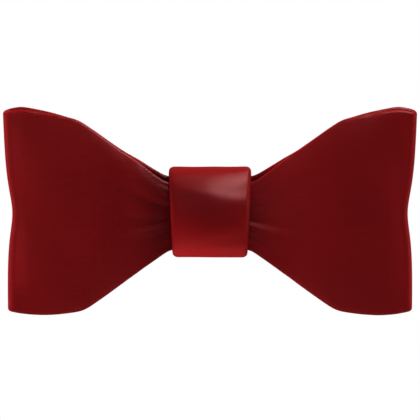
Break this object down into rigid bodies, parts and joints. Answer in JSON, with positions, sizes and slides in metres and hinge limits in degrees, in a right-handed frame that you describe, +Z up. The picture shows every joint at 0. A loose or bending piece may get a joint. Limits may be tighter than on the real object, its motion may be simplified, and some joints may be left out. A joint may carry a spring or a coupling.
{
  "type": "bow tie",
  "caption": "Ready-tied butterfly bow tie in deep red satin, a folded strip pinched by a padded knot, with a sprung two-jaw clip behind the knot that grips the shirt collar.",
  "frame": {"origin": "middle of the rear face of the clip's base plate, where the tie sits on the collar", "axes": "+X to the right seen from the front, +Y back towards the wearer's collar, +Z up"},
  "size_m": [0.1204, 0.0245, 0.0611],
  "materials": {
    "satin": "deep red woven satin with a soft sheen",
    "interlining": "undyed wool-blend canvas",
    "padding": "white bonded wadding",
    "thread": "twisted polyester sewing thread, dark red",
    "nickel": "nickel-plated stamped steel with fine handling marks",
    "spring_steel": "drawn spring wire"
  },
  "bodies": {
    "bow_tie": {"bow_strip_satin": "satin", "bow_strip_interlining": "interlining", "waist_binding_thread": "thread", "knot_wrap_satin": "satin", "knot_padding": "padding", "knot_seam_thread": "thread", "clip_base_plate": "nickel", "clip_stitch_left": "thread", "clip_stitch_right": "thread", "left_hinge_pin": "nickel", "left_torsion_spring": "spring_steel", "right_hinge_pin": "nickel", "right_torsion_spring": "spring_steel"},
    "left_jaw": {"left_jaw": "nickel"},
    "right_jaw": {"right_jaw": "nickel"}
  },
  "joints": [
    {"name": "left_jaw_hinge", "type": "hinge", "parent": "bow_tie", "child": "left_jaw", "pos_m": [-0.013, 0.0023, 0], "axis": [0, 0, -1], "range_deg": [0, 30], "stiffness_Nm_per_rad": 0.05, "springref_deg": -57.3, "deforming": ["left_torsion_spring"]},
    {"name": "right_jaw_hinge", "type": "hinge", "parent": "bow_tie", "child": "right_jaw", "pos_m": [0.013, 0.0023, 0], "axis": [0, 0, 1], "range_deg": [0, 30], "stiffness_Nm_per_rad": 0.05, "springref_deg": -57.3, "deforming": ["right_torsion_spring"]}
  ]
}
